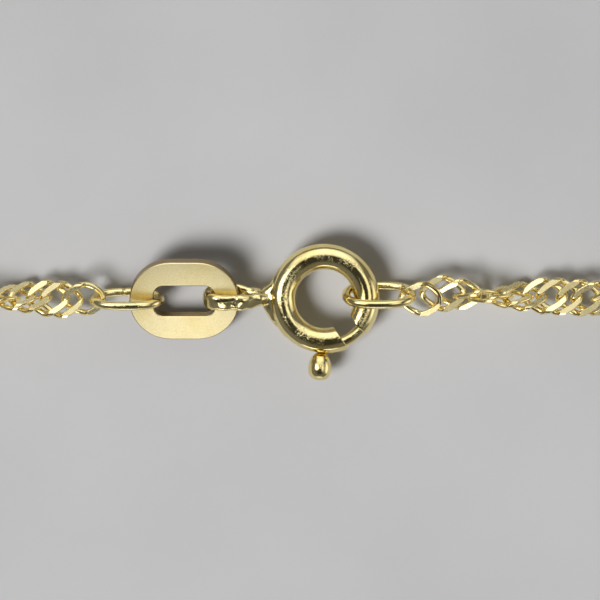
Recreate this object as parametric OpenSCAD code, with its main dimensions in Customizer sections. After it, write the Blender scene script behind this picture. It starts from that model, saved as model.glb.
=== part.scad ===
/* [Necklace] */
// Length of the closed necklace along its centreline, clasp included
necklace_length = 450; // [400:5:600]
// Length of the straight stretch at the front that holds the clasp
front_straight = 40; // [36:1:60]
// Diameter of the cylinder that the twisted chain fills
chain_d = 2; // [1.8:0.05:2.3]
// Gap between an end link and the blunt end of the twisted chain
chain_end_gap = 0.1; // [0.05:0.05:0.4]

/* [Chain links] */
// Outer length of one link
link_length = 2.1; // [2:0.02:2.3]
// Outer width of one link
link_width = 1.8; // [1.7:0.02:2]
// Diameter of the link's wire before the facets are cut
link_wire = 0.38; // [0.34:0.01:0.42]
// Thickness left between the two flat facets of a link
link_flat = 0.3; // [0.26:0.01:0.33]
// Turn of the left end link's long side away from the chain
left_link_turn = 12; // [5:1:30]
// Roll of the left end link about the chain
left_link_roll = 25; // [10:1:35]
// Turn of the right end link's long side away from the chain
right_link_turn = 90; // [80:1:100]
// Roll of the right end link about the chain
right_link_roll = 8; // [4:1:12]
// Offset of the right end link towards the inside of the loop
right_link_shift = 0.15; // [0.1:0.01:0.2]
// Play between a jump ring and the link that hangs in it
link_play = 0.06; // [0.03:0.01:0.1]

/* [Jump rings] */
// Wire diameter of both oval jump rings
ring_wire = 0.45; // [0.4:0.01:0.48]
// Outer length of the left jump ring
left_ring_length = 3.75; // [3.5:0.05:4.2]
// Play of the left jump ring over each face of the tag
left_ring_play = 0.37; // [0.2:0.01:0.4]
// Outer length of the right jump ring
right_ring_length = 3.7; // [3.5:0.01:4.2]
// Play of the right jump ring on each side of the spring ring's tube
right_ring_play = 0.205; // [0.19:0.005:0.3]
// Lean of the right jump ring from upright
right_ring_lean = 28.5; // [20:0.5:32]
// Offset of the right jump ring towards the inside of the loop
right_ring_shift = 0.18; // [0:0.01:0.25]
// Play between the right jump ring and the inner side of the tube
right_seat_gap = 0.13; // [0.12:0.01:0.2]

/* [Tag] */
// Overall length of the flat tag
tag_length = 5.45; // [5.2:0.05:6]
// Overall width of the flat tag
tag_width = 4.1; // [3.8:0.1:4.5]
// Thickness of the flat tag
tag_thickness = 0.65; // [0.5:0.01:0.75]
// Length of the tag's oblong slot
slot_length = 3.05; // [2.8:0.05:3.2]
// Width of the tag's oblong slot
slot_width = 1.62; // [1.5:0.02:1.9]
// Radius of the slot's corners
slot_corner = 0.5; // [0.4:0.01:0.6]
// Chamfer along the tag's edges
tag_chamfer = 0.04; // [0.02:0.01:0.08]
// Tilt of the tag, which the eye and the left jump ring stand square to
tag_tilt = 22; // [15:1:26]
// Play between the slot's right end and the eye
eye_slot_play = 0.11; // [0.05:0.01:0.15]
// Play between the slot's left end and the left jump ring
ring_slot_play = 0.02; // [0.02:0.01:0.1]
// Offset of the tag and all that lies left of it towards the inside of the loop
tag_shift = 0.05; // [0:0.01:0.08]

/* [Spring ring] */
// Diameter of the circle that the tube's centreline follows
tube_circle_d = 4.2; // [4:0.05:4.6]
// Outer diameter of the tube
tube_d = 1.3; // [1.2:0.01:1.35]
// Wall of the tube
tube_wall = 0.19; // [0.15:0.01:0.2]
// Place of the spring ring's centre along the front straight
spring_x = 1.23; // [0:0.01:2]
// Place of the spring ring's centre across the front straight
spring_y = 0.07; // [0:0.01:0.15]
// Angle of the gap's edge beside the trigger, on the tube's circle
gap_start = -67.6; // [-72:0.2:-64]
// Angle of the gap's edge on the stub, on the tube's circle
gap_end = -40.8; // [-46:0.2:-38]
// Slant of the cut beside the trigger from the radius
gap_start_slant = 12.6; // [0:0.2:16]
// Slant of the inner half of the stub's cut from the radius
stub_slant = -23; // [-30:0.5:0]

/* [Eye] */
// Reach of the soldered eye from the tube's outer side
eye_reach = 3.38; // [3.2:0.01:3.8]
// Thickness of the eye's flattened wire
eye_thickness = 0.46; // [0.36:0.01:0.5]
// Breadth of the eye's flattened wire where it crosses the tag
eye_breadth = 0.86; // [0.7:0.01:0.95]
// Breadth of the eye's wire at the solder joint
eye_neck_breadth = 0.46; // [0.4:0.01:0.5]
// Play of the eye over each face of the tag
eye_play = 0.17; // [0.1:0.01:0.25]
// Offset of the eye towards the inside of the loop
eye_shift = 0.06; // [0:0.01:0.08]
// Radius of the solder's core inside the tube's wall
solder_radius = 0.58; // [0.5:0.01:0.59]
// Radius of the solder where it runs out on the eye
solder_tip = 0.26; // [0.24:0.01:0.3]
// Length of the solder from foot to tip
solder_length = 0.85; // [0.7:0.01:0.9]
// Half the spread of the solder along the tube
solder_spread = 1.15; // [0.9:0.01:1.25]

/* [Bolt and trigger] */
// Diameter of the bolt's wire
bolt_wire = 0.5; // [0.42:0.01:0.52]
// Offset of the bolt outwards from the tube's centreline
bolt_offset = 0.13; // [0.06:0.01:0.14]
// Angle that the closed bolt reaches into the stub
bolt_overlap = 6.8; // [4:0.2:10]
// Angle of the trigger on the tube's circle when the clasp is closed
trigger_angle = -94; // [-98:0.5:-90]
// Length of the bolt behind the trigger, as an angle
bolt_tail = 30; // [20:1:40]
// Travel of the trigger from closed to open, as an angle
trigger_travel = 38; // [34:1:42]
// Length of the trigger's bead
bead_length = 1.33; // [1.1:0.01:1.4]
// Width of the trigger's bead
bead_width = 1.16; // [0.9:0.01:1.2]
// Width of the bead's neck beside the tube
bead_neck = 0.74; // [0.6:0.01:0.8]
// Diameter of the stem between bolt and bead
stem_d = 0.4; // [0.34:0.01:0.46]
// Clearance around the stem in its slot, and between bead and tube
trigger_play = 0.03; // [0.02:0.01:0.06]

/* [Hidden] */
$fn = 48;
overlap = 0.01;
chain_r = chain_d / 2;
chain_sides = 8;
corner_steps = 15;
back_steps = 40;
straight_steps = 2;
eye_edge_steps = 6;

// The loop is a front straight, two quarter corners and a half circle at the back
corner_radius = (necklace_length - front_straight * (1 + PI / 2)) / (2 * PI);
back_radius = corner_radius + front_straight / 2;

// Radii of the spring ring and the heights that follow from the leaning ring
tube_circle_r = tube_circle_d / 2;
tube_r = tube_d / 2;
bore_r = tube_r - tube_wall;
left_ring_width = tag_thickness + 2 * left_ring_play + 2 * ring_wire;
right_ring_width = tube_d + 2 * right_ring_play + 2 * ring_wire;
clasp_z = (right_ring_width - ring_wire) / 2 * cos(right_ring_lean) + ring_wire / 2 + overlap;
link_z = (chain_r + clasp_z) / 2;

// Inner radii of the two loops that pass through the tag's slot
left_ring_inner_r = tag_thickness / 2 + left_ring_play;
eye_inner_r = tag_thickness / 2 + eye_play;
eye_loop_r = eye_inner_r + eye_thickness / 2;

// The eye's rounded edge comes nearest to the slot's rounded corner this far off its middle
eye_edge = 0.4;
eye_edge_reach = (eye_breadth - eye_thickness + eye_edge * eye_thickness) / 2;
eye_edge_relief = eye_thickness / 2 * (1 - sqrt(1 - pow(eye_edge, 2)));
slot_flat = slot_width / 2 - slot_corner;
slot_recess = round_drop(slot_corner, max(0, eye_edge_reach + spring_y + eye_shift - tag_shift - slot_flat));

// Places along the front straight, each piece hung on the one before it
eye_left = spring_x - tube_circle_r - tube_r - eye_reach;
slot_right = eye_left + eye_thickness + bend_gap(eye_inner_r, eye_edge_relief) + slot_recess + eye_slot_play;
tag_x = slot_right - slot_length / 2;
tag_right = tag_x + tag_length / 2;
slot_left = slot_right - slot_length;
left_ring_right = slot_left + ring_wire + bend_gap(left_ring_inner_r, 0) + ring_slot_play;
left_ring_left = left_ring_right - left_ring_length;
right_ring_left = spring_x + tube_circle_r - tube_r - right_seat_gap - ring_wire;
right_ring_right = right_ring_left + right_ring_length;
left_link_right = left_ring_left + ring_wire + link_play + link_wire;
right_link_left = right_ring_right - ring_wire - link_play - link_wire;
left_link_x = left_link_right - link_reach(left_link_turn);
right_link_x = right_link_left + link_reach(right_link_turn);
chain_left = left_link_x - link_reach(left_link_turn) - chain_end_gap;
chain_right = right_link_x + link_reach(right_link_turn) + chain_end_gap;

// The trigger's bead, which reaches furthest out at the front of the necklace
bead_r = tube_circle_r + tube_r + trigger_play + bead_length / 2;
bead_front = bead_r * sin(-trigger_angle) + norm([bead_length * sin(trigger_angle), bead_width * cos(trigger_angle)]) / 2;
front_reach = bead_front - spring_y;
front_y = (front_reach - corner_radius - back_radius - chain_r) / 2;

// Reach of a turned link along the chain, from its centre
function link_reach(turn) = (link_length - link_width) / 2 * abs(cos(turn)) + link_width / 2;

// Drop of a circle from its crown at a distance from the middle
function round_drop(r, away) = r - sqrt(pow(r, 2) - pow(away, 2));

// Room that a loop's bend needs to clear the tag's edge, which its middle passes freely
function bend_gap(inner_r, relief) = round_drop(inner_r + relief, tag_thickness / 2 - tag_chamfer) - relief;

function polar(r, a) = r * [cos(a), sin(a)];

// Stations of the chain's centreline, each a point and the heading there
function arc_stations(centre, r, from, to, steps) =
    [for (i = [1:steps]) let (a = from + (to - from) * i / steps) [centre + polar(r, a), a + 90]];

function straight_stations(from_x, to_x, heading, first) =
    [for (i = [first:straight_steps]) [[from_x + (to_x - from_x) * i / straight_steps, front_y], heading]];

arc_y = front_y + corner_radius;
stations = concat(
    straight_stations(chain_right, front_straight / 2, 0, 0),
    arc_stations([front_straight / 2, arc_y], corner_radius, -90, 0, corner_steps),
    arc_stations([0, arc_y], back_radius, 0, 180, back_steps),
    arc_stations([-front_straight / 2, arc_y], corner_radius, 180, 270, corner_steps),
    straight_stations(-front_straight / 2, chain_left, 360, 1)
);

// Tube swept along the chain's stations
module swept_tube(stations, r, sides) {
    last = len(stations) - 1;
    points = [for (s = stations) for (j = [0:sides - 1])
        let (a = 360 * j / sides, side = polar(r * cos(a), s[1] - 90))
        [s[0].x + side.x, s[0].y + side.y, chain_r + r * sin(a)]];
    walls = [for (i = [0:last - 1]) for (j = [0:sides - 1])
        let (k = (j + 1) % sides, a = i * sides, b = a + sides)
        each [[a + j, a + k, b + k], [a + j, b + k, b + j]]];
    first_cap = [for (j = [sides - 1:-1:0]) j];
    last_cap = [for (j = [0:sides - 1]) last * sides + j];
    polyhedron(points, concat(walls, [first_cap], [last_cap]), convexity = 10);
}

// Oval loop in the XY plane, long side along X, with a profile drawn beside the origin
module oval_loop(length, width, wire) {
    half = (length - width) / 2;
    r = (width - wire) / 2;
    for (side = [-1, 1]) {
        translate([side * half, 0, 0])
            rotate([0, 0, side * 90 - 90])
                rotate([0, 0, -90])
                    rotate_extrude(angle = 180)
                        translate([r, 0])
                            circle(d = wire);
        translate([-half, side * r, 0])
            rotate([0, 90, 0])
                cylinder(d = wire, h = 2 * half);
    }
}

// Link with the flat facets of a diamond cut on both faces
module faceted_link() {
    intersection() {
        oval_loop(link_length, link_width, link_wire);
        cube([2 * link_length, 2 * link_length, link_flat], center = true);
    }
}

module placed(x, y, z) {
    translate([x, front_y + y, z])
        children();
}

// Loop stood on edge and leaned so that its upper strand moves towards the front
module standing(lean) {
    rotate([90 + lean, 0, 0])
        children();
}

module left_end_link() {
    color([0.86, 0.76, 0.46])
        placed(left_link_x, tag_shift, link_z)
            rotate([left_link_roll, 0, 0])
                rotate([0, 0, left_link_turn])
                    faceted_link();
}

module right_end_link() {
    color([0.86, 0.76, 0.46])
        placed(right_link_x, right_link_shift, link_z)
            rotate([right_link_roll, 0, 0])
                rotate([0, 0, right_link_turn])
                    faceted_link();
}

module left_jump_ring() {
    color([0.80, 0.70, 0.42])
        placed(left_ring_left + left_ring_length / 2, tag_shift, clasp_z)
            standing(tag_tilt)
                oval_loop(left_ring_length, left_ring_width, ring_wire);
}

module right_jump_ring() {
    color([0.80, 0.70, 0.42])
        placed(right_ring_left + right_ring_length / 2, spring_y + right_ring_shift, clasp_z)
            standing(right_ring_lean)
                oval_loop(right_ring_length, right_ring_width, ring_wire);
}

// Half of a slab as seen at a cut, its edges bevelled in or, below zero, flared out
module slab_profile(reach, depth, bevel) {
    rise = abs(bevel);
    polygon([
        [0, -depth], [reach - bevel, -depth], [reach, rise - depth],
        [reach, depth - rise], [reach - bevel, depth], [0, depth]
    ]);
}

module round_slab(r, depth, bevel) {
    rotate_extrude()
        slab_profile(r, depth, bevel);
}

// Straight slab along X with both of its long edges shaped
module long_slab(length, width, depth, bevel) {
    for (turn = [0, 180])
        rotate([0, 0, turn])
            rotate([90, 0, 90])
                linear_extrude(length, center = true)
                    slab_profile(width / 2, depth, bevel);
}

// What the slot takes out of the tag, with its edges bevelled at both faces
module slot_cut() {
    depth = tag_thickness / 2 + tag_chamfer;
    bevel = -2 * tag_chamfer;
    along = slot_length / 2 - slot_corner;
    for (x = [-along, along])
        for (y = [-slot_flat, slot_flat])
            translate([x, y, 0])
                round_slab(slot_corner, depth, bevel);
    long_slab(2 * along, slot_width, depth, bevel);
    rotate([0, 0, 90])
        long_slab(2 * slot_flat, slot_length, depth, bevel);
}

module tag_plate() {
    half = (tag_length - tag_width) / 2;
    color([0.93, 0.82, 0.50])
        placed(tag_x, tag_shift, clasp_z)
            rotate([tag_tilt, 0, 0])
                difference() {
                    union() {
                        for (x = [-half, half])
                            translate([x, 0, 0])
                                round_slab(tag_width / 2, tag_thickness / 2, tag_chamfer);
                        long_slab(2 * half, tag_width, tag_thickness / 2, tag_chamfer);
                    }
                    slot_cut();
                }
}

module torus(circle_r, wire_r) {
    rotate_extrude()
        translate([circle_r, 0])
            circle(r = wire_r);
}

// Flattened wire of the eye, as seen at a cut: thick along X, broad along Y, with rolled edges
module eye_profile() {
    half = (eye_breadth - eye_thickness) / 2;
    polygon([for (side = [0, 1]) for (i = [0:eye_edge_steps])
        [0, half - 2 * half * side] + polar(eye_thickness / 2, 180 * side + 180 * i / eye_edge_steps)]);
}

module along_x() {
    rotate([90, 0, 90])
        children();
}

// Half of the eye's band in the XY plane: half the bend, then the upper strand to the solder
module eye_strand(bend_x, waist_x, root_x, slant) {
    lap = 0.4 * eye_thickness * tan(slant / 2);
    translate([bend_x, 0, 0])
        rotate([0, 0, 90])
            rotate_extrude(angle = 90)
                translate([eye_loop_r, 0])
                    eye_profile();
    translate([bend_x, eye_loop_r, 0])
        along_x()
            linear_extrude(waist_x - bend_x + lap)
                eye_profile();
    translate([waist_x, eye_loop_r, 0])
        rotate([0, 0, -slant])
            translate([-lap, 0, 0])
                along_x()
                    linear_extrude(lap + (root_x - waist_x) / cos(slant))
                        eye_profile();
}

// Soldered eye from the spring ring's centre towards minus X, with its wire drawn thin at the joint
module eye() {
    bend_x = eye_left - spring_x + eye_thickness / 2 + eye_loop_r;
    waist_x = tag_right + eye_play - spring_x;
    foot_x = -tube_circle_r - bore_r / 2;
    tip_x = foot_x - solder_length;
    slant = atan((eye_loop_r - solder_tip) / (foot_x - waist_x));
    far_x = eye_left - spring_x - overlap;
    taper_x = waist_x - eye_play / 2;
    wide = eye_breadth / 2 + overlap;
    thin = eye_neck_breadth / 2;
    intersection() {
        union() {
            eye_strand(bend_x, waist_x, foot_x, slant);
            mirror([0, 1, 0])
                eye_strand(bend_x, waist_x, foot_x, slant);
        }
        rotate([90, 0, 0])
            linear_extrude(4 * eye_loop_r, center = true)
                polygon([
                    [far_x, -wide], [taper_x, -wide], [tip_x, -thin], [0, -thin],
                    [0, thin], [tip_x, thin], [taper_x, wide], [far_x, wide]
                ]);
    }
    translate([tip_x, 0, 0])
        rotate([0, 90, 0])
            cylinder(r1 = solder_tip, r2 = solder_radius, h = solder_length);
}

// Web of solder between eye and tube, from the spring ring's centre towards minus X
module solder_web() {
    foot_x = -tube_circle_r - tube_r / 4;
    edge_x = -tube_circle_r - tube_r;
    tip_x = foot_x - solder_length;
    spread_x = -sqrt(pow(edge_x, 2) - pow(solder_spread, 2));
    intersection() {
        linear_extrude(tube_d, center = true)
            polygon([
                [tip_x, -solder_tip], [edge_x, -0.6 * solder_spread], [spread_x, -solder_spread],
                [foot_x, -0.9 * solder_spread], [foot_x, 0.9 * solder_spread],
                [spread_x, solder_spread], [edge_x, 0.6 * solder_spread], [tip_x, solder_tip]
            ]);
        rotate([90, 0, 0])
            linear_extrude(4 * solder_spread, center = true)
                polygon([
                    [tip_x, -solder_tip], [foot_x, -0.7 * tube_r],
                    [foot_x, 0.7 * tube_r], [tip_x, solder_tip]
                ]);
    }
}

module gap_cut() {
    k = 1.5 * tube_r;
    start = polar(tube_circle_r, gap_start);
    end = polar(tube_circle_r, gap_end);
    linear_extrude(2 * tube_d, center = true)
        polygon([
            start - polar(k, gap_start + gap_start_slant),
            start + polar(k, gap_start + gap_start_slant),
            end + polar(k, gap_end),
            end,
            end - polar(k, gap_end + stub_slant)
        ]);
}

module trigger_slot() {
    width = stem_d + 2 * trigger_play;
    margin = asin((width / 2 + trigger_play) / tube_circle_r);
    rotate([0, 0, trigger_angle - trigger_travel - margin])
        rotate_extrude(angle = trigger_travel + 2 * margin)
            translate([tube_circle_r, -width / 2])
                square([tube_d, width]);
}

module spring_ring() {
    color([0.78, 0.68, 0.40])
        placed(spring_x, spring_y, clasp_z)
            difference() {
                union() {
                    torus(tube_circle_r, tube_r);
                    solder_web();
                    translate([0, eye_shift, 0])
                        standing(tag_tilt)
                            eye();
                }
                torus(tube_circle_r, bore_r);
                gap_cut();
                trigger_slot();
            }
}

// Pear shape turned about Z, its belly's centre at the origin and its neck below
module bead(length, width, neck) {
    steps = 12;
    belly = [for (i = [0:0.7 * steps]) let (a = 180 * i / steps) [width / 2 * sin(a), length / 2 * cos(a)]];
    rotate_extrude()
        polygon(concat(belly, [[neck / 2, -length / 2], [0, -length / 2]]));
}

module bolt_trigger() {
    bolt_r = tube_circle_r + bolt_offset;
    tip = gap_end + bolt_overlap;
    tail = trigger_angle - bolt_tail;
    color([0.84, 0.73, 0.48])
        placed(spring_x, spring_y, clasp_z) {
            rotate([0, 0, tail])
                rotate_extrude(angle = tip - tail)
                    translate([bolt_r, 0])
                        circle(d = bolt_wire);
            rotate([0, 0, trigger_angle])
                rotate([0, 90, 0]) {
                    translate([0, 0, bolt_r])
                        cylinder(d = stem_d, h = bead_r - bolt_r);
                    translate([0, 0, bead_r])
                        bead(bead_length, bead_width, bead_neck);
                }
        }
}

module chain() {
    color([0.88, 0.78, 0.48])
        swept_tube(stations, chain_r, chain_sides);
}

chain();
left_end_link();
right_end_link();
left_jump_ring();
right_jump_ring();
tag_plate();
spring_ring();
bolt_trigger();
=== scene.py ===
import math

import bmesh
import bpy
import numpy as np
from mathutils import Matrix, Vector, noise


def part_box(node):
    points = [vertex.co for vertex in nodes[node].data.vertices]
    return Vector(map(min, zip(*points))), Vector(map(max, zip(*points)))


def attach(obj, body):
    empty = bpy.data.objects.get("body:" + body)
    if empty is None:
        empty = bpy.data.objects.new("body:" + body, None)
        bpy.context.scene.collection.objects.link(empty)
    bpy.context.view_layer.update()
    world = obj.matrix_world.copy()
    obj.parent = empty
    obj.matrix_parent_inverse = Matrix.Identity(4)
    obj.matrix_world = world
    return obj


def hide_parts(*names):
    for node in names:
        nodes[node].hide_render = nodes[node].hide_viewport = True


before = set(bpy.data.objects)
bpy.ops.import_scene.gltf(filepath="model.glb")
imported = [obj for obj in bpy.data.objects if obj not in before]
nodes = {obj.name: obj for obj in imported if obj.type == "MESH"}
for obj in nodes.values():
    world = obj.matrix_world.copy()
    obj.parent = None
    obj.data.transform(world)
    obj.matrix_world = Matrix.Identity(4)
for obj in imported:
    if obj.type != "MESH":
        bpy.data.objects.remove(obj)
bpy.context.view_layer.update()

# Lengths in the settings are in millimetres and angles in degrees; the scene itself is in metres.
mm = 0.001
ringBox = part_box("spring_ring")
frontY = -63.738  # the straight front run, where clasp, tag and rings lie in line
print("frame loaded:", len(nodes), "solids")

cameraView = {
    "lens": 200.0,
    "sensor": 36.0,
    "fieldWide": 30.0,  # width of table that the picture takes in
    "aim": (0.0, frontY, 1.1),
    "nearest": 5.0, "furthest": 20000.0,  # what it can see
}


def addCamera(view):
    data = bpy.data.cameras.new("camera")
    data.lens = view["lens"]
    data.sensor_width = view["sensor"]
    data.clip_start = view["nearest"] * mm
    data.clip_end = view["furthest"] * mm
    camera = bpy.data.objects.new("camera", data)
    bpy.context.scene.collection.objects.link(camera)
    away = view["fieldWide"] * view["lens"] / view["sensor"]
    camera.location = Vector(view["aim"]) * mm + Vector((0, 0, away * mm))
    camera.rotation_euler = (0, 0, 0)  # straight down, with the top of the picture towards +Y
    bpy.context.scene.camera = camera


addCamera(cameraView)
bpy.context.scene.view_settings.view_transform = "Standard"
print("camera set")

tableTop = {
    "size": 6000.0,
    "below": 0.01,  # just under the chain, so the two don't share a plane
    "colour": (0.66, 0.655, 0.655, 1.0), "speckle": (0.61, 0.605, 0.605, 1.0), "rough": 0.75,
    "specksPerMetre": 60.0, "speckDetail": 6.0, "speckEdges": (0.35, 0.65),
}


def addTable(top):
    half = top["size"] / 2 * mm
    mesh = bpy.data.meshes.new("table_top")
    mesh.from_pydata([(-half, -half, 0), (half, -half, 0), (half, half, 0), (-half, half, 0)], [], [(0, 1, 2, 3)])
    table = bpy.data.objects.new("table_top", mesh)
    bpy.context.scene.collection.objects.link(table)
    table.location = (0, 0, -top["below"] * mm)
    paint = bpy.data.materials.new("pale table paint")
    paint.use_nodes = True
    tree = paint.node_tree
    shader = tree.nodes["Principled BSDF"]
    shader.inputs["Roughness"].default_value = top["rough"]
    place = tree.nodes.new("ShaderNodeTexCoord")
    grain = tree.nodes.new("ShaderNodeTexNoise")
    grain.inputs["Scale"].default_value = top["specksPerMetre"]
    grain.inputs["Detail"].default_value = top["speckDetail"]
    tint = tree.nodes.new("ShaderNodeValToRGB")
    for stop, edge, colour in zip(tint.color_ramp.elements, top["speckEdges"], (top["speckle"], top["colour"])):
        stop.position, stop.color = edge, colour
    tree.links.new(place.outputs["Object"], grain.inputs["Vector"])
    tree.links.new(grain.outputs["Fac"], tint.inputs["Fac"])
    tree.links.new(tint.outputs["Color"], shader.inputs["Base Color"])
    mesh.materials.append(paint)


# Each lamp: which way it lies from its aim (azimuth from +X, angle off the zenith), how far, its size and its glow.
# The mirror lamps are there for the metal to mirror, some for the pieces of one group only. The table's key lights the
# table, and the metal doesn't mirror it.
studioLamps = {
    "topPanel": {"azimuth": 90, "offZenith": 44, "away": 700, "wide": 1050, "high": 860, "glow": 1.38, "job": "mirror"},
    "leftStrip": {"azimuth": 166, "offZenith": 33, "away": 700, "wide": 300, "high": 420, "glow": 4.2, "job": "mirror"},
    "rightNear": {"azimuth": 4, "offZenith": 28, "away": 700, "wide": 420, "high": 330, "glow": 1.3, "job": "mirror"},
    "rightLow": {"azimuth": -4, "offZenith": 74, "away": 700, "wide": 640, "high": 430, "glow": 1.2, "job": "mirror"},
    "frontLow": {"azimuth": -95, "offZenith": 87, "away": 700, "wide": 520, "high": 56, "glow": 5.0, "job": "mirror"},
    "chainSky": {"azimuth": 90, "offZenith": 2, "away": 700, "wide": 320, "high": 980, "glow": 0.95, "job": "mirror",
                 "only": "chain"},
    "chainSpark": {"azimuth": -92, "offZenith": 73, "away": 700, "wide": 520, "high": 330, "glow": 3.0, "job": "mirror",
                   "only": "chain"},
    "eyeSpark": {"azimuth": -97, "offZenith": 52, "away": 700, "wide": 230, "high": 190, "glow": 3.6, "job": "mirror",
                 "only": "eye"},
    # a small card close to the tag, so its light falls off across the tag
    "tagCard": {"azimuth": -90, "offZenith": 46, "away": 11, "wide": 9.5, "high": 8.0, "glow": 1.46, "job": "mirror",
                "only": "tag", "aim": (-5.78, -0.85, 0.8), "rim": 0.42},
    "tableKey": {"azimuth": 222, "offZenith": 40, "away": 900, "wide": 420, "high": 420, "glow": 22.0, "job": "table"},
}
# the cloth before a lamp: where the full glow ends and the rim's begins, and the rim's share of the glow
diffuser = {"fullTo": 0.18, "rimFrom": 0.56, "rim": 0.35}
roomLight = {
    "walls": (0.16, 0.16, 0.165, 1.0), "wallsTo": 0.55, "overhead": (0.035, 0.035, 0.035, 1.0), "overheadFrom": 0.85,
    "strength": 1.0,
}


def softenEdges(data, rim):
    data.use_nodes = True
    tree = data.node_tree
    glow = tree.nodes["Emission"]
    spot = tree.nodes.new("ShaderNodeNewGeometry")
    centred = tree.nodes.new("ShaderNodeVectorMath")
    centred.operation = "SUBTRACT"
    centred.inputs[1].default_value = (0.5, 0.5, 0.0)
    reach = tree.nodes.new("ShaderNodeVectorMath")
    reach.operation = "LENGTH"
    fall = tree.nodes.new("ShaderNodeMapRange")
    fall.interpolation_type = "SMOOTHSTEP"
    fall.inputs["From Min"].default_value = diffuser["fullTo"]
    fall.inputs["From Max"].default_value = diffuser["rimFrom"]
    fall.inputs["To Min"].default_value = 1.0
    fall.inputs["To Max"].default_value = rim
    tree.links.new(spot.outputs["Parametric"], centred.inputs[0])
    tree.links.new(centred.outputs["Vector"], reach.inputs[0])
    tree.links.new(reach.outputs["Value"], fall.inputs["Value"])
    tree.links.new(fall.outputs["Result"], glow.inputs["Strength"])


litBy = {}  # groups of pieces that have lamps of their own


def addLamps(lamps):
    for name, lamp in lamps.items():
        x, y, z = lamp.get("aim", (0, 0, 0))
        aim = Vector((x, frontY + y, z)) * mm
        around, down = math.radians(lamp["azimuth"]), math.radians(lamp["offZenith"])
        towards = Vector((math.sin(down) * math.cos(around), math.sin(down) * math.sin(around), math.cos(down)))
        data = bpy.data.lights.new(name, "AREA")
        data.shape = "RECTANGLE"
        data.size = lamp["wide"] * mm
        data.size_y = lamp["high"] * mm
        data.energy = lamp["glow"] * math.pi * data.size * data.size_y
        softenEdges(data, lamp.get("rim", diffuser["rim"]))
        holder = bpy.data.objects.new(name, data)
        bpy.context.scene.collection.objects.link(holder)
        holder.location = aim + towards * lamp["away"] * mm
        holder.rotation_euler = towards.to_track_quat("Z", "Y").to_euler()
        holder.visible_camera = False
        holder.visible_glossy = lamp["job"] == "mirror"
        holder.visible_diffuse = lamp["job"] == "table"
        only = lamp.get("only")
        if only and only not in litBy:
            litBy[only] = bpy.data.collections.new("lit with " + only)
        if only:
            holder.light_linking.receiver_collection = litBy[only]


def addRoom(room):
    world = bpy.data.worlds.new("studio room")
    world.use_nodes = True
    bpy.context.scene.world = world
    tree = world.node_tree
    back = tree.nodes["Background"]
    back.inputs["Strength"].default_value = room["strength"]
    place = tree.nodes.new("ShaderNodeTexCoord")
    split = tree.nodes.new("ShaderNodeSeparateXYZ")
    rise = tree.nodes.new("ShaderNodeValToRGB")
    rise.color_ramp.interpolation = "EASE"
    stops = ((room["wallsTo"], room["walls"]), (room["overheadFrom"], room["overhead"]))
    for stop, (height, colour) in zip(rise.color_ramp.elements, stops):
        stop.position, stop.color = height, colour
    tree.links.new(place.outputs["Generated"], split.inputs["Vector"])
    tree.links.new(split.outputs["Z"], rise.inputs["Fac"])
    tree.links.new(rise.outputs["Color"], back.inputs["Color"])


addTable(tableTop)
addLamps(studioLamps)
litBy["tag"].objects.link(nodes["tag_plate"])
addRoom(roomLight)
print("table and lamps set")

# One alloy, several finishes. Cloud is the size of the patches between colour and shade. Grain is the size of the fine
# marks and dent their depth, and scratch is the share of long ones. Nick is the depth of the handling marks on the
# crests. Around is the middle of a turned piece and circle its radius: its scratches run across its wire.
goldLooks = {
    "polished clasp gold": {
        "colour": (0.93, 0.79, 0.38, 1.0), "shade": (0.84, 0.67, 0.27, 1.0), "rough": (0.07, 0.16),
        "cloud": 1.4, "grain": 0.07, "dent": 0.0016, "scratch": 0.7, "nick": 0.010, "nickSize": 0.075,
        "around": (1.23, -63.668), "circle": 2.1},
    "drawn ring gold": {
        "colour": (0.93, 0.79, 0.39, 1.0), "shade": (0.86, 0.70, 0.30, 1.0), "rough": (0.09, 0.20),
        "cloud": 0.9, "grain": 0.07, "dent": 0.0018, "scratch": 0.6, "nick": 0.007, "nickSize": 0.10},
    "satin tag gold": {
        "colour": (0.95, 0.82, 0.46, 1.0), "shade": (0.91, 0.76, 0.38, 1.0), "rough": (0.33, 0.40),
        "cloud": 1.8, "grain": 0.055, "dent": 0.0022, "scratch": 0.1, "nick": 0.0, "nickSize": 0.05,
        # wall is painted shade: the dark brown put on the plate's edge walls in place of the shadowed table they mirror
        "wall": (0.36, 0.265, 0.12, 1.0), "wallUp": 0.80, "speckle": 0.10},
    "solder gold": {
        "colour": (0.93, 0.80, 0.40, 1.0), "shade": (0.80, 0.66, 0.30, 1.0), "rough": (0.10, 0.24),
        "cloud": 0.6, "grain": 0.08, "dent": 0.0018, "scratch": 0.3, "nick": 0.006, "nickSize": 0.16},
    "cut link gold": {
        "colour": (0.94, 0.81, 0.42, 1.0), "shade": (0.85, 0.69, 0.30, 1.0), "rough": (0.07, 0.17),
        "cloud": 0.7, "grain": 0.06, "dent": 0.0012, "scratch": 0.3, "nick": 0.003, "nickSize": 0.09},
    "cut facet gold": {
        "colour": (0.94, 0.82, 0.45, 1.0), "shade": (0.88, 0.74, 0.36, 1.0), "rough": (0.24, 0.31),
        "cloud": 0.8, "grain": 0.05, "dent": 0.0016, "scratch": 0.8, "nick": 0.0, "nickSize": 0.09},
}


# Where a cloudy texture, which runs from 0 to 1, begins and ends to show as each kind of mark.
markEdges = {
    "cloud": (0.35, 0.55), "rough": (0.3, 0.7), "dots": (0.42, 0.58), "nick": (0.48, 0.72), "patch": (0.42, 0.62),
    "crest": (0.80, 0.97),  # how far up a surface faces to be rubbed
    "wallBlend": 0.02,
    "patchSize": 0.9, "patchLeast": 0.12,  # of the nicks, and their share between the patches
    "scratchStretch": 0.12,  # the less, the longer the scratches
}


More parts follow.
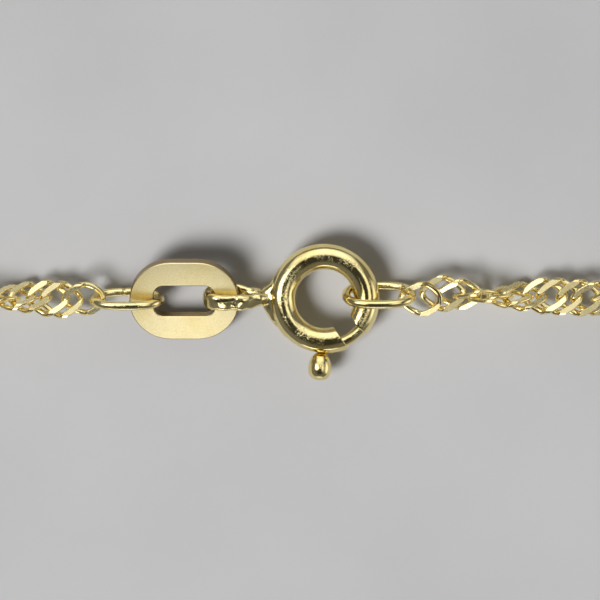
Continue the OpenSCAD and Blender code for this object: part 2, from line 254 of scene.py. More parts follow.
def goldMaterial(name):
    look = goldLooks[name]
    material = bpy.data.materials.new(name)
    material.use_nodes = True
    tree = material.node_tree
    shader = tree.nodes["Principled BSDF"]
    shader.inputs["Metallic"].default_value = 1.0
    place = tree.nodes.new("ShaderNodeTexCoord")

    def join(source, target):
        tree.links.new(source, target)

    def sums(operation, first, second):
        node = tree.nodes.new("ShaderNodeMath")
        node.operation = operation
        for socket, value in zip(node.inputs, (first, second)):
            if isinstance(value, float):
                socket.default_value = value
            else:
                join(value, socket)
        return node.outputs["Value"]

    def spread(value, low, high, toLow=0.0, toHigh=1.0):
        node = tree.nodes.new("ShaderNodeMapRange")
        for socket, number in zip(("From Min", "From Max", "To Min", "To Max"), (low, high, toLow, toHigh)):
            node.inputs[socket].default_value = number
        join(value, node.inputs["Value"])
        return node.outputs["Result"]

    def cloudiness(size, detail=3.0, source=None):
        texture = tree.nodes.new("ShaderNodeTexNoise")
        texture.inputs["Scale"].default_value = 1.0 / (size * mm)
        texture.inputs["Detail"].default_value = detail
        join(source or place.outputs["Object"], texture.inputs["Vector"])
        return texture.outputs["Fac"]

    def scratchLines():
        # long marks: along X, or across the wire of a turned piece
        stretch = tree.nodes.new("ShaderNodeMapping")
        stretch.inputs["Scale"].default_value = (markEdges["scratchStretch"], 1.0, 1.0)
        source = place.outputs["Object"]
        if "around" in look:
            split = tree.nodes.new("ShaderNodeSeparateXYZ")
            turned = tree.nodes.new("ShaderNodeCombineXYZ")
            join(source, split.inputs["Vector"])
            x = sums("SUBTRACT", split.outputs["X"], look["around"][0] * mm)
            y = sums("SUBTRACT", split.outputs["Y"], look["around"][1] * mm)
            out = sums("SQRT", sums("ADD", sums("MULTIPLY", x, x), sums("MULTIPLY", y, y)), 0.0)
            join(out, turned.inputs["X"])
            join(sums("MULTIPLY", sums("ARCTAN2", y, x), look["circle"] * mm), turned.inputs["Y"])
            join(split.outputs["Z"], turned.inputs["Z"])
            source = turned.outputs["Vector"]
        join(source, stretch.inputs["Vector"])
        return cloudiness(look["grain"], 3.0, stretch.outputs["Vector"])

    tint = tree.nodes.new("ShaderNodeMix")
    tint.data_type = "RGBA"
    tint.inputs["A"].default_value = look["shade"]
    tint.inputs["B"].default_value = look["colour"]
    join(spread(cloudiness(look["cloud"], 4.0), *markEdges["cloud"]), tint.inputs["Factor"])
    colour = tint.outputs["Result"]
    if "wall" in look:
        # painted shade: the plate's edge walls are painted a dark brown, standing in for the shadowed table that they
        # mirror, and the face is finely speckled
        paintedWallShade = tree.nodes.new("ShaderNodeMix")
        paintedWallShade.data_type = "RGBA"
        paintedWallShade.inputs["B"].default_value = look["wall"]
        upright = tree.nodes.new("ShaderNodeSeparateXYZ")
        join(tree.nodes.new("ShaderNodeNewGeometry").outputs["True Normal"], upright.inputs["Vector"])
        low, high = look["wallUp"] - markEdges["wallBlend"], look["wallUp"] + markEdges["wallBlend"]
        join(spread(upright.outputs["Z"], low, high, 1.0, 0.0), paintedWallShade.inputs["Factor"])
        speckled = tree.nodes.new("ShaderNodeMix")
        speckled.data_type = "RGBA"
        speckled.blend_type = "MULTIPLY"
        speckled.inputs["Factor"].default_value = look["speckle"]
        dots = tree.nodes.new("ShaderNodeValToRGB")
        for stop, edge in zip(dots.color_ramp.elements, markEdges["dots"]):
            stop.position = edge
        join(cloudiness(look["grain"], 2.0), dots.inputs["Fac"])
        join(colour, speckled.inputs["A"])
        join(dots.outputs["Color"], speckled.inputs["B"])
        join(speckled.outputs["Result"], paintedWallShade.inputs["A"])
        colour = paintedWallShade.outputs["Result"]
    join(colour, shader.inputs["Base Color"])
    join(spread(cloudiness(look["grain"] * 3, 5.0), *markEdges["rough"], *look["rough"]), shader.inputs["Roughness"])

    fine = tree.nodes.new("ShaderNodeMix")
    fine.data_type = "FLOAT"
    fine.inputs["Factor"].default_value = look["scratch"]
    join(cloudiness(look["grain"], 2.0), fine.inputs["A"])
    join(scratchLines(), fine.inputs["B"])
    dent = tree.nodes.new("ShaderNodeBump")
    dent.inputs["Strength"].default_value = 1.0
    dent.inputs["Distance"].default_value = look["dent"] * mm
    join(fine.outputs["Result"], dent.inputs["Height"])
    if look["nick"]:
        # crests that rubbed against other things carry the deeper marks, in patches
        facing = tree.nodes.new("ShaderNodeNewGeometry")
        upright = tree.nodes.new("ShaderNodeSeparateXYZ")
        join(facing.outputs["Normal"], upright.inputs["Vector"])
        crest = spread(upright.outputs["Z"], *markEdges["crest"])
        patch = spread(cloudiness(markEdges["patchSize"], 2.0), *markEdges["patch"], markEdges["patchLeast"], 1.0)
        marks = spread(cloudiness(look["nickSize"], 2.0), *markEdges["nick"])
        nick = tree.nodes.new("ShaderNodeBump")
        nick.inputs["Strength"].default_value = 1.0
        nick.inputs["Distance"].default_value = look["nick"] * mm
        join(sums("MULTIPLY", sums("MULTIPLY", crest, patch), marks), nick.inputs["Height"])
        join(dent.outputs["Normal"], nick.inputs["Normal"])
        dent = nick
    join(dent.outputs["Normal"], shader.inputs["Normal"])
    return material


finishes = {name: goldMaterial(name) for name in goldLooks}
wornBy = {
    "chain": "cut link gold", "left_end_link": "cut link gold", "right_end_link": "cut link gold",
    "left_jump_ring": "drawn ring gold", "right_jump_ring": "drawn ring gold",
    "tag_plate": "satin tag gold",
    "spring_ring": "polished clasp gold", "bolt_trigger": "polished clasp gold",
}


def dress(piece, *names):
    piece.data.materials.clear()
    for name in names:
        piece.data.materials.append(finishes[name])


for node, finish in wornBy.items():
    dress(nodes[node], finish)
print("gold finishes made:", len(finishes))

# The clasp's tube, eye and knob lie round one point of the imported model, counted from the eye's tip.
claspPlace = {"fromTip": 6.13, "fromFront": 0.07, "height": 1.1841}
claspMiddle = np.array([(ringBox[0][0] + claspPlace["fromTip"] * mm) / mm, frontY + claspPlace["fromFront"],
                        claspPlace["height"]])


def makePiece(name, points, faces, smooth, finish, body, stands):
    mesh = bpy.data.meshes.new(name)
    mesh.from_pydata((np.asarray(points) * mm).tolist(), [], faces)
    mesh.polygons.foreach_set("use_smooth", smooth if isinstance(smooth, list) else [smooth] * len(faces))
    mesh.validate()
    mesh.update()
    piece = bpy.data.objects.new(name, mesh)
    bpy.context.scene.collection.objects.link(piece)
    dress(piece, finish)
    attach(piece, body)
    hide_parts(*stands)
    return piece


def turnX(angle):
    c, s = math.cos(angle), math.sin(angle)
    return np.array([[1, 0, 0], [0, c, -s], [0, s, c]])


def turnZ(angle):
    c, s = math.cos(angle), math.sin(angle)
    return np.array([[c, -s, 0], [s, c, 0], [0, 0, 1]])


def ovalLine(shape, count):
    # an oval through its four furthest points; a fullness of 2 is an ellipse, less a lozenge, more an oblong
    t = np.linspace(0, 2 * math.pi, count, endpoint=False)
    c, s = np.cos(t), np.sin(t)
    power = 2 / shape["fullness"]
    x = shape["halfLong"] * np.sign(c) * abs(c) ** power
    y = shape["halfWide"] * np.sign(s) * abs(s) ** power
    return np.stack([x, y], 1)


def evenLine(line, count, closed):
    # the same line with its points an equal way apart
    if closed:
        line = np.vstack([line, line[:1]])
    run = np.concatenate([[0], np.cumsum(np.linalg.norm(np.diff(line, axis=0), axis=1))])
    even = np.linspace(0, run[-1], count, endpoint=not closed)
    return np.stack([np.interp(even, run, line[:, k]) for k in range(line.shape[1])], 1)


def easedLoop(line, times):
    # a closed line with its corners eased
    for turn in range(times):
        line = (np.roll(line, 1, 0) + 2 * line + np.roll(line, -1, 0)) / 4
    return line


def loopHeading(line):
    # which way a closed line runs at each of its points
    ahead = np.roll(line, -1, 0) - np.roll(line, 1, 0)
    return ahead / np.linalg.norm(ahead, axis=1)[:, None]


def tubeFaces(rows, sides):
    # faces of a closed band of rings, each ring joined to the next and the last to the first
    faces = []
    for i in range(rows):
        here, after = i * sides, (i + 1) % rows * sides
        faces += [(here + j, here + (j + 1) % sides, after + (j + 1) % sides, after + j) for j in range(sides)]
    return faces


def closedTube(mesh, rings):
    # a capped tube from rounds of points
    rows = [[mesh.verts.new(p) for p in ring] for ring in rings]
    sides = len(rows[0])
    for a, b in zip(rows, rows[1:]):
        for j in range(sides):
            mesh.faces.new((a[j], a[(j + 1) % sides], b[(j + 1) % sides], b[j]))
    mesh.faces.new(rows[0][::-1])
    mesh.faces.new(rows[-1])


def meshParts(mesh):
    # points and faces of a bmesh
    mesh.verts.index_update()
    return np.array([v.co[:] for v in mesh.verts]), [[v.index for v in f.verts] for f in mesh.faces]


def roughObject(name, mesh):
    # a passing object, one unit to the millimetre, from a bmesh
    bmesh.ops.recalc_face_normals(mesh, faces=mesh.faces)
    data = bpy.data.meshes.new(name)
    mesh.to_mesh(data)
    mesh.free()
    rough = bpy.data.objects.new(name, data)
    bpy.context.scene.collection.objects.link(rough)
    return rough


def finished(rough, *helpers):
    # points, normals and faces of a rough object as its modifiers leave it; the rough objects go
    mesh = rough.evaluated_get(bpy.context.evaluated_depsgraph_get()).to_mesh()
    points = np.array([v.co[:] for v in mesh.vertices])
    normals = np.array([v.normal[:] for v in mesh.vertices])
    faces = [list(f.vertices) for f in mesh.polygons]
    for thing in (rough,) + helpers:
        data = thing.data
        bpy.data.objects.remove(thing)
        bpy.data.meshes.remove(data)
    return points, normals, faces


springTube = {
    "circle": 2.1, "outer": 0.65, "bore": 0.54, "lip": 0.03, "sides": 56, "steps": 200,
    # the gap runs from one slanted cut to the other, in degrees round the ring
    "gapFrom": -67.6, "gapFromSlant": 12.6, "gapTo": -40.8, "stubSlant": -23.0,
    # the slot that the knob's stem slides in, on the outer side, and how far out from the ring's middle it is cut
    "slotWide": 0.46, "slotFrom": -132.0, "slotTo": -94.0, "slotCut": (2.3, 3.1), "slotWallFrom": 2.5,
    "slotSpare": 6.0,  # degrees past its ends where a wall still counts as the slot's
}


def cutAngle(circle, radius, angle, slant):
    # angle at which a slanted cut through the wire's middle meets a circle of another radius
    s = math.radians(slant)
    sign = 1 if radius >= circle else -1
    away = -circle * math.cos(s) + math.sqrt(max(0.0, (circle * math.cos(s)) ** 2 - circle ** 2 + radius ** 2))
    return math.radians(angle) + math.atan2(away * math.sin(s), circle + away * math.cos(s))


def slotCutter(tube):
    # a long block with round ends, wrapped round the tube's outer side
    half, outside = tube["slotWide"] / 2, tube["circle"] + tube["outer"]
    outline = []
    for middle, first in ((tube["slotTo"], -90), (tube["slotFrom"], 90)):
        for turn in range(0, 181, 15):
            a = math.radians(first + turn)
            outline.append((math.radians(middle) + half * math.cos(a) / outside, half * math.sin(a)))
    mesh = bmesh.new()
    closedTube(mesh, [[(r * math.cos(t), r * math.sin(t), z) for t, z in outline] for r in tube["slotCut"]])
    return roughObject("slot cutter", mesh)


def buildSpringTube(tube):
    circle, lip, sides = tube["circle"], tube["lip"], tube["sides"]
    along = np.linspace(0, 1, tube["steps"])
    skins = []

    def ring(radius, back, share):
        # one ring of points: how thick, how far back from the cuts, and where between them
        points = []
        for j in range(sides):
            a = 2 * math.pi * j / sides
            r, z = circle + radius * math.cos(a), radius * math.sin(a)
            gapEnd = cutAngle(circle, r, tube["gapTo"], 0 if r > circle else tube["stubSlant"]) + back / circle
            gapStart = cutAngle(circle, r, tube["gapFrom"] + 360, tube["gapFromSlant"]) - back / circle
            t = gapEnd + (gapStart - gapEnd) * share
            points.append((r * math.cos(t), r * math.sin(t), z))
        skins.append(points)

    # out along the skin, round the lip at the far cut, and back along the bore
    outer, bore = tube["outer"], tube["bore"]
    ring(outer - 0.25 * lip, 0.25 * lip, 0)
    for share in along:
        ring(outer, lip, share)
    ring(outer - 0.25 * lip, 0.25 * lip, 1)
    ring(outer - lip, 0, 1)
    ring(bore + 0.4 * lip, 0, 1)
    for share in along[::-1]:
        ring(bore, 0.5 * lip, share)
    ring(bore + 0.4 * lip, 0, 0)
    ring(outer - lip, 0, 0)
    mesh = bmesh.new()
    corners = [mesh.verts.new(p) for skin in skins for p in skin]
    for face in tubeFaces(len(skins), sides):
        mesh.faces.new([corners[i] for i in face])
    rough = roughObject("tube in the rough", mesh)
    cutter = slotCutter(tube)
    slot = rough.modifiers.new("slot", "BOOLEAN")
    slot.operation, slot.solver, slot.object = "DIFFERENCE", "EXACT", cutter
    points, normals, faces = finished(rough, cutter)
    # the slot's walls are flat and keep crisp edges
    half = tube["slotWide"] / 2 + 0.001
    low, high = math.radians(tube["slotFrom"] - tube["slotSpare"]), math.radians(tube["slotTo"] + tube["slotSpare"])
    smooth = []
    for face in faces:
        x, y, z = points[face].mean(0)
        far = math.hypot(x, y)
        across = np.cross(points[face[1]] - points[face[0]], points[face[2]] - points[face[1]])
        wall = abs(across @ np.array([x, y, 0]) / far) < 0.5 * np.linalg.norm(across)
        inSlot = low < math.atan2(y, x) < high and abs(z) < half and far > tube["slotWallFrom"]
        smooth.append(not (wall and inSlot))
    makePiece("clasp_tube", points + claspMiddle, faces, smooth, "polished clasp gold", "necklace",
              ["spring_ring"])


# The eye is a flat band bent back on itself, leaned towards the front, and soldered to the tube.
claspEye = {
    # the lower half of the band from the tube to its bend: along from the ring's middle, and up
    "strand": ((-2.95, -0.25), (-3.5, -0.50), (-4.05, -0.69)), "bendMiddle": -5.175, "bendRadius": 0.725,
    "band": 0.46, "breadth": 0.84, "neck": 0.60, "neckFrom": -4.35, "square": 0.85, "lean": 22.0, "shift": 0.06,
    "bandSides": 24, "bandSteps": 90, "bendSteps": 19, "bandEasing": 6,
    # the solder: round the ring in degrees, how far it stands out from the ring's middle, and how high
    "solderReach": ((148, 2.73, 0.12), (155, 2.79, 0.24), (162, 2.90, 0.32), (168, 3.08, 0.40), (173, 3.22, 0.42),
                    (180, 3.22, 0.42), (187, 3.14, 0.40), (193, 3.00, 0.38), (200, 2.90, 0.34), (207, 2.83, 0.28),
                    (215, 2.77, 0.22), (222, 2.73, 0.12)),
    "solderMiddle": 2.30,
    "solderBed": 0.60,  # it lies in the tube's wall, so the bore stays free for the bolt
    "grain": 0.034, "smoothing": 5,
    # lumps and pits: full near the tube, least towards the bend
    "lump": 0.095, "lumpSize": 0.50, "pit": 0.007, "pitSize": 0.21, "leastFrom": -5.6, "fullAfter": 1.4, "least": 0.25,
    "seam": -4.43, "seamDepth": 0.035, "seamWide": 0.035, "seamWaver": 0.04, "seamWaves": 9.0,
    "crown": 0.06, "crownWide": 0.55,  # how far the band rises at its seam
}


def bandRings(eye):
    # rounds of the flat band along its bent line, in its own leaned frame
    lower = list(eye["strand"])
    bend = [(eye["bendMiddle"] - eye["bendRadius"] * math.cos(a), eye["bendRadius"] * math.sin(a))
            for a in np.linspace(-math.pi / 2, math.pi / 2, eye["bendSteps"])]
    line = np.array(lower + bend + [(x, -y) for x, y in lower[::-1]])
    line = evenLine(line, eye["bandSteps"], False)
    for turn in range(eye["bandEasing"]):
        line[1:-1] = (line[:-2] + 2 * line[1:-1] + line[2:]) / 4
    ahead = np.gradient(line, axis=0)
    ahead /= np.linalg.norm(ahead, axis=1)[:, None]
    out = np.stack([ahead[:, 1], -ahead[:, 0]], 1)
    rings = []
    for (x, y), (ox, oy) in zip(line, out):
        broad = np.interp(x, [eye["neckFrom"], lower[0][0]], [eye["breadth"], eye["neck"]])
        rise = eye["crown"] * math.exp(-((x - eye["seam"]) / eye["crownWide"]) ** 2) * (1 if y > 0 else 0)
        ring = []
        for k in range(eye["bandSides"]):
            a = 2 * math.pi * k / eye["bandSides"]
            c, s = math.cos(a), math.sin(a)
            u = eye["band"] / 2 * math.copysign(abs(c) ** eye["square"], c) + (rise if c > 0 else 0)
            w = broad / 2 * math.copysign(abs(s) ** eye["square"], s)
            ring.append((x + ox * u, y + oy * u, w))
        rings.append(ring)
    return np.array(rings)


def solderRings(eye, circle):
    # rounds of the solder, which lies against the tube and not inside it
    middle, rings = eye["solderMiddle"], []
    for angle, reach, high in eye["solderReach"]:
        a, ring = math.radians(angle), []
        for k in range(eye["bandSides"]):
            b = 2 * math.pi * k / eye["bandSides"]
            z = high * math.sin(b)
            r = max(middle + (reach - middle) * math.cos(b), circle + math.sqrt(eye["solderBed"] ** 2 - z ** 2))
            ring.append((r * math.cos(a), r * math.sin(a), z))
        rings.append(ring)
    return rings


def buildEye(eye, circle):
    lean = math.radians(eye["lean"])
    c, s = math.cos(lean), math.sin(lean)
    rings = bandRings(eye)
    x, y, w = rings[..., 0], rings[..., 1], rings[..., 2]
    leaned = np.stack([x, -y * s - w * c + eye["shift"], y * c - w * s], -1)
    mesh = bmesh.new()
    closedTube(mesh, leaned.tolist())
    closedTube(mesh, solderRings(eye, circle))
    rough = roughObject("eye in the rough", mesh)
    fuse = rough.modifiers.new("fuse", "REMESH")
    fuse.mode = "VOXEL"
    fuse.voxel_size = eye["grain"]
    fuse.use_smooth_shade = True
    soften = rough.modifiers.new("soften", "SMOOTH")
    soften.factor = 0.5
    soften.iterations = eye["smoothing"]
    points, normals, faces = finished(rough)
    # the heat of soldering leaves lumps and pits, most of them near the joint, and a seam where the band was closed
    elsewhere = Vector((5, 1, 2))  # so that pits and lumps don't coincide
    for i, (p, n) in enumerate(zip(points, normals)):
        spot = Vector(p)
        joint = min(1.0, max(eye["least"], (p[0] - eye["leastFrom"]) / eye["fullAfter"]))
        move = eye["lump"] * joint * noise.noise(spot / eye["lumpSize"])
        move += eye["pit"] * joint * noise.noise(spot / eye["pitSize"] + elsewhere)
        if p[2] > 0:
            bent = p[0] - eye["seam"] - eye["seamWaver"] * math.sin(eye["seamWaves"] * p[1])
            move -= eye["seamDepth"] * math.exp(-(bent / eye["seamWide"]) ** 2)
        points[i] = p + n * move
    return makePiece("clasp_eye", points + claspMiddle, faces, True, "solder gold", "necklace",
                     ["spring_ring"])


# The spring bolt inside the tube and the pear-shaped knob that draws it back.
claspBolt = {
    "offset": 0.24, "wire": 0.29, "from": -124.0, "to": -34.0, "steps": 70, "sides": 28,
    "ends": (0.80, 0.95, 1.0),  # how the wire thickens from its ends
    # the stem and knob: distance from the ring's middle and radius
    "knobAt": -94.0, "knobSides": 40, "knobSteps": 90, "knobEasing": 10, "stemSteps": 8,
    "pear": ((2.10, 0.20), (2.72, 0.20), (2.78, 0.28), (2.85, 0.38), (2.96, 0.46), (3.12, 0.525), (3.30, 0.565),
             (3.48, 0.58), (3.66, 0.57), (3.80, 0.535), (3.92, 0.46), (4.02, 0.33), (4.08, 0.18), (4.10, 0.05)),
}


def buildBolt(bolt, circle):
    mesh = bmesh.new()
    path = np.radians(np.linspace(bolt["from"], bolt["to"], bolt["steps"]))
    wire = []
    for i, t in enumerate(path):
        end = min(i, len(path) - 1 - i)
        radius = bolt["wire"] * bolt["ends"][min(end, len(bolt["ends"]) - 1)]
        ring = []
        for k in range(bolt["sides"]):
            a = 2 * math.pi * k / bolt["sides"]
            r = circle + bolt["offset"] + radius * math.cos(a)
            ring.append((r * math.cos(t), r * math.sin(t), radius * math.sin(a)))
        wire.append(ring)
    closedTube(mesh, wire)
    t = math.radians(bolt["knobAt"])
    outward, across = np.array([math.cos(t), math.sin(t), 0]), np.array([-math.sin(t), math.cos(t), 0])
    knots = np.array(bolt["pear"])
    pace = np.linspace(0, len(knots) - 1, bolt["knobSteps"])
    profile = np.stack([np.interp(pace, range(len(knots)), knots[:, k]) for k in (0, 1)], 1)
    stem = bolt["stemSteps"]
    for turn in range(bolt["knobEasing"]):
        profile[stem:-1] = (profile[stem - 1:-2] + 2 * profile[stem:-1] + profile[stem + 1:]) / 4
    pear = []
    for far, radius in profile:
        pear.append([tuple(outward * far + radius * (across * math.cos(a) + np.array([0, 0, math.sin(a)])))
                     for a in np.linspace(0, 2 * math.pi, bolt["knobSides"], endpoint=False)])
    closedTube(mesh, pear)
    bmesh.ops.recalc_face_normals(mesh, faces=mesh.faces)
    points, faces = meshParts(mesh)
    mesh.free()
    makePiece("bolt_with_knob", points + claspMiddle, faces, True, "polished clasp gold", "bolt",
              ["bolt_trigger"])


# The jump rings: bowed ovals of round wire that stand on edge and lean, with the joint left by their closing.
jumpRings = {
    "left_jump_ring": {"middle": (-8.653, 0.05, 1.1841), "halfLong": 1.66, "halfWide": 0.95, "fullness": 2.35,
                       "lean": 22.0, "yaw": 0.0, "jointAt": 262},
    "right_jump_ring": {"middle": (3.95, 0.25, 1.1841), "halfLong": 1.64, "halfWide": 1.08, "fullness": 2.45,
                        "lean": 26.0, "yaw": 0.5, "jointAt": 320},
}
ringWire = {"radius": 0.225, "jointDepth": 0.06, "jointWide": 0.8, "steps": 180, "sides": 28, "easing": 3}


def buildJumpRing(node, ring, wire):
    steps, sides = wire["steps"], wire["sides"]
    line = evenLine(easedLoop(ovalLine(ring, steps), wire["easing"]), steps, True)
    points = []
    for i, ((x, y), (aheadX, aheadY)) in enumerate(zip(line, loopHeading(line))):
        apart = i - ring["jointAt"] / 360 * steps
        radius = wire["radius"] - wire["jointDepth"] * math.exp(-(apart / wire["jointWide"]) ** 2)
        for k in range(sides):
            a = 2 * math.pi * k / sides
            out = radius * math.cos(a)
            points.append((x + aheadY * out, y - aheadX * out, radius * math.sin(a)))
    about = turnZ(math.radians(ring["yaw"])) @ turnX(math.radians(90 + ring["lean"]))
    x, y, z = ring["middle"]
    makePiece("bowed_" + node, np.array(points) @ about.T + (x, frontY + y, z), tubeFaces(steps, sides), True,
              "drawn ring gold", "necklace", [node])


for node, ring in jumpRings.items():
    buildJumpRing(node, ring, ringWire)
buildSpringTube(springTube)
litBy["eye"].objects.link(buildEye(claspEye, springTube["circle"]))
buildBolt(claspBolt, springTube["circle"])
print("clasp built")

# Flat diamond-cut curb links, each through its neighbours and lying in pairs, the whole ribbon twisted as it runs
# round the neck.
linkShape = {
    "halfLong": 1.04,  # to the middle of the wire
    "halfWide": 0.82,
    "rise": 0.28,  # how far a flank stands before or behind the ribbon
    "fullness": 1.2,  # 1 is a lozenge, 2 an oval
    "rounding": 1.2,  # of the lozenge's corners
    "flank": 0.8,  # how level a flank stays along its length
    "broad": 0.32,  # the wire, flattened by the cutting
    "thick": 0.26,
    "faceCut": 0.058,  # depth of the flat cut on each flank
    "rimCuts": ((40, 0.028), (64, 0.022), (88, 0.014)),  # lean and depth of the bright cuts at the rims
    "twist": 30.0,  # degrees per millimetre
}
tighterLink = dict(linkShape, halfLong=0.98, twist=27.0)  # beside the tag
endLinkShape = dict(linkShape, fullness=1.4, rounding=2.0)
linkMeshes = {"fine": (72, 16), "plain": (36, 10)}  # points along the wire and round it
chainRun = {
    "length": 450.0,  # of the closed necklace
    "straight": 20.0,  # half of the straight front
    "height": 0.962,
    # pairs of links from the clasp round to the tag, and the last links, which lie closer
    "firstLinks": (7.15, 7.92), "firstPair": 8.80, "pairs": 246, "lastPair": -17.5, "withinPair": 0.725,
    "lastLinks": (-15.80, -15.10, -14.20, -13.50, -12.60, -11.93),
    "fineTo": 17.0,  # the links up to here are in the picture
    # which way the ribbon faces in the picture: X and turn, right of the clasp and left of it
    "rightTurns": ((6.35, -180), (7.25, -168), (7.75, -150), (8.5, -114), (9.0, -92), (9.85, -73), (10.85, -55),
                   (11.85, -22), (12.6, -8), (13.9, 8), (14.6, 24), (16.0, 66)),
    "leftTurns": ((-18.0, -158), (-15.0, -75), (-13.8, -45), (-12.8, -18), (-11.85, 2), (-10.5, 10)),
    "unsteady": 1.2, "seed": 7,  # degrees by which a link's turn strays
    # how far the run wanders to the side of its line
    "wander": ((-16.0, 0.0), (-15.0, 0.05), (-13.8, 0.15), (-12.8, 0.10), (-11.9, 0.02), (5.9, 0.12), (7.25, 0.35),
               (7.8, 0.31), (8.5, 0.24), (9.3, 0.165), (10.8, 0.15), (11.9, 0.23), (12.6, 0.19), (14.0, 0.11),
               (17.0, 0.0)),
}


def linkCentreline(shape, steps):
    # a lozenge with straight flanks and rounded corners, bent so that its flanks stand before and behind the ribbon
    count = 4 * steps
    t = np.linspace(0, 2 * math.pi, count, endpoint=False)
    rise = -shape["rise"] * np.tanh(shape["flank"] * np.sin(2 * t)) / math.tanh(shape["flank"])
    line = evenLine(np.column_stack([ovalLine(shape, count), rise]), steps, True)
    line = easedLoop(line, round(shape["rounding"] * steps ** 2 / 1000))  # just as round with fewer steps
    line *= (shape["halfLong"] / line[:, 0].max(), shape["halfWide"] / line[:, 1].max(), 1)
    x, y, z = line.T
    a = np.radians(shape["twist"]) * x
    return np.stack([x, y * np.cos(a) - z * np.sin(a), y * np.sin(a) + z * np.cos(a)], 1)


def sweptLoop(line, broad, thick, sides):
    # a closed wire along a closed line, its rounds square to the line
    along = loopHeading(line)
    side = np.cross(along, [0.0, 0.0, 1.0])
    side /= np.linalg.norm(side, axis=1)[:, None]
    over = np.cross(side, along)
    a = np.linspace(0, 2 * math.pi, sides, endpoint=False)[None, :, None]
    rounds = broad / 2 * side[:, None] * np.cos(a) + thick / 2 * over[:, None] * np.sin(a)
    return (line[:, None] + rounds).reshape(-1, 3), tubeFaces(len(line), sides)


def cutLink(shape, steps, sides):
    # one link as the cutter leaves it: flat faces on its four flanks and bright cuts along both rims
    points, faces = sweptLoop(linkCentreline(shape, steps), shape["broad"], shape["thick"], sides)
    mesh = bmesh.new()
    corners = [mesh.verts.new(p) for p in points]
    for f in faces:
        face = mesh.faces.new([corners[i] for i in f])
        face.smooth = True
    bmesh.ops.recalc_face_normals(mesh, faces=mesh.faces)
    # each cut: the way square to it, its depth, and its finish, which is 1 for the flat faces
    cuts = [(Vector((0, 0, sz)), shape["faceCut"], 1) for sz in (-1, 1)]
    for angle, depth in shape["rimCuts"]:
        y, z = math.sin(math.radians(angle)), math.cos(math.radians(angle))
        cuts += [(Vector((0, sy * y, sz * z)), depth, 0) for sy in (-1, 1) for sz in (-1, 1)]
    for square, depth, finish in cuts:
        reach = max(v.co.dot(square) for v in mesh.verts) - depth
        cut = bmesh.ops.bisect_plane(mesh, geom=mesh.verts[:] + mesh.edges[:] + mesh.faces[:], dist=1e-6,
                                     plane_co=square * reach, plane_no=square, clear_outer=True)
        rim = [e for e in cut["geom_cut"] if isinstance(e, bmesh.types.BMEdge)]
        for face in bmesh.ops.holes_fill(mesh, edges=rim, sides=0)["faces"]:
            face.smooth = False
            face.material_index = finish
    bmesh.ops.recalc_face_normals(mesh, faces=mesh.faces)
    points, faces = meshParts(mesh)
    smooth = [f.smooth for f in mesh.faces]
    facets = [f.material_index for f in mesh.faces]
    mesh.free()
    return points, faces, smooth, facets


def bendRadii(run):
    # radii of the front corners and of the wider back, with which the closed loop has its length
    corner = round(((run["length"] - 2 * run["straight"]) / math.pi - run["straight"]) / 2, 4)
    return corner, corner + run["straight"]


def routePoint(run, s):
    # centre and heading of the chain at a distance s round the necklace, counted from the middle of the front
    r, b = bendRadii(run)
    h = run["straight"]
    corner, back = math.pi / 2 * r, math.pi * b
    if s < h:
        return (s, frontY), 0.0
    s -= h
    if s < corner:
        a = s / r
        return (h + r * math.sin(a), frontY + r - r * math.cos(a)), a
    s -= corner
    if s < back:
        a = s / b
        return (b * math.cos(a), frontY + r + b * math.sin(a)), math.pi / 2 + a
    s -= back
    if s < corner:
        a = s / r
        return (-h - r * math.cos(a), frontY + r - r * math.sin(a)), 1.5 * math.pi + a
    s -= corner
    return (-h + s, frontY), 2 * math.pi


def layLinks(run):
    # where each link lies: its place along the chain, centre, heading and turn
    whole = 2 * run["straight"] + math.pi * sum(bendRadii(run))
    starts = np.linspace(run["firstPair"], whole + run["lastPair"], run["pairs"] + 1)
    stations = list(run["firstLinks"]) + [s + step for s in starts for step in (0, run["withinPair"])]
    stations += [whole + s for s in run["lastLinks"]]
    right, left = np.array(run["rightTurns"], float), np.array(run["leftTurns"], float)
    rightEnd, leftStart = right[-1, 0], whole + left[0, 0]
    free = linkShape["twist"] * (leftStart - rightEnd)
    free = round((free - (left[0, 1] - right[-1, 1])) / 360) * 360 + (left[0, 1] - right[-1, 1])
    wander = np.array(run["wander"], float)
    rng = np.random.default_rng(run["seed"])
    laid = []
    for s in stations:
        if s <= rightEnd:
            turn = np.interp(s, right[:, 0], right[:, 1])
        elif s >= leftStart:
            turn = right[-1, 1] + free + np.interp(s - whole, left[:, 0], left[:, 1]) - left[0, 1]
        else:
            turn = right[-1, 1] + free * (s - rightEnd) / (leftStart - rightEnd)
        (x, y), heading = routePoint(run, s)
        off = np.interp(s - whole if s > whole / 2 else s, wander[:, 0], wander[:, 1])
        stray = run["unsteady"] * rng.normal()
        laid.append((s, x - off * math.sin(heading), y + off * math.cos(heading), heading, turn + stray))
    return laid


def makeLinks(name, points, faces, smooth, facets, stands):
    piece = makePiece(name, points, faces, smooth, "cut link gold", "necklace", stands)
    dress(piece, "cut link gold", "cut facet gold")
    piece.data.polygons.foreach_set("material_index", facets)
    piece.data.update()
    litBy["chain"].objects.link(piece)
    return piece


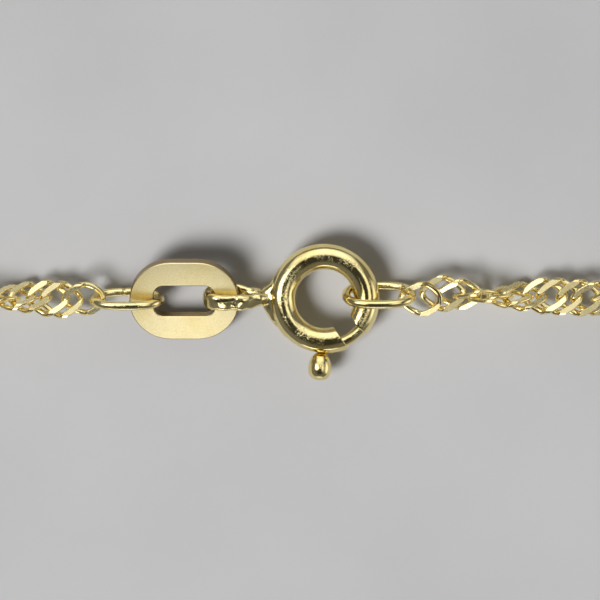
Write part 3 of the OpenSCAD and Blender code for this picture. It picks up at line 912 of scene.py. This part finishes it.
def joinedLinks(name, laid, template, run):
    # many links in one mesh, each a copy of the cut one
    points, faces, smooth, facets = template
    allPoints, allFaces = [], []
    for s, x, y, heading, turn in laid:
        base = len(allPoints) * len(points)
        allPoints.append(points @ (turnZ(heading) @ turnX(math.radians(turn))).T + (x, y, run["height"]))
        allFaces += [[i + base for i in f] for f in faces]
    return makeLinks(name, np.concatenate(allPoints), allFaces, smooth * len(laid), facets * len(laid), ["chain"])


links = layLinks(chainRun)
fine, plain = (cutLink(linkShape, *linkMeshes[kind]) for kind in ("fine", "plain"))
tighter = cutLink(tighterLink, *linkMeshes["fine"])
last = len(chainRun["lastLinks"])
nearRight = [k for k in links if k[0] < chainRun["fineTo"]]
rest = links[len(nearRight):-last]
third = len(rest) // 3 + 1
chainParts = {
    "links_right_of_clasp": (nearRight, fine), "links_left_of_tag": (links[-last:], tighter),
    "links_right_side": (rest[:third], plain), "links_neck_side": (rest[third:2 * third], plain),
    "links_left_side": (rest[2 * third:], plain),
}
chainPieces = [joinedLinks(name, laid, template, chainRun) for name, (laid, template) in chainParts.items()]
print("chain:", len(links), "links,", [len(p.data.polygons) for p in chainPieces], "faces")

# The first and last links, which the jump rings hold.
endLinks = {
    "left_cut_end_link": {"middle": (-10.82, 0.06, 1.09), "halfLong": 0.96, "halfWide": 0.76, "turned": 5, "rolled": 24,
                          "stands": ["left_end_link"]},
    "right_cut_end_link": {"middle": (6.02, 0.06, 1.18), "halfLong": 0.97, "halfWide": 0.84, "turned": -4, "rolled": 30,
                           "stands": ["right_end_link", "chain"]},  # its far end reaches into the chain's start
}


def layEndLink(name, end):
    shape = dict(endLinkShape, halfLong=end["halfLong"], halfWide=end["halfWide"])
    points, faces, smooth, facets = cutLink(shape, *linkMeshes["fine"])
    about = turnX(math.radians(end["rolled"])) @ turnZ(math.radians(end["turned"]))
    x, y, z = end["middle"]
    makeLinks(name, points @ about.T + (x, frontY + y, z), faces, smooth, facets, end["stands"])


for name, end in endLinks.items():
    layEndLink(name, end)
print("end links laid")
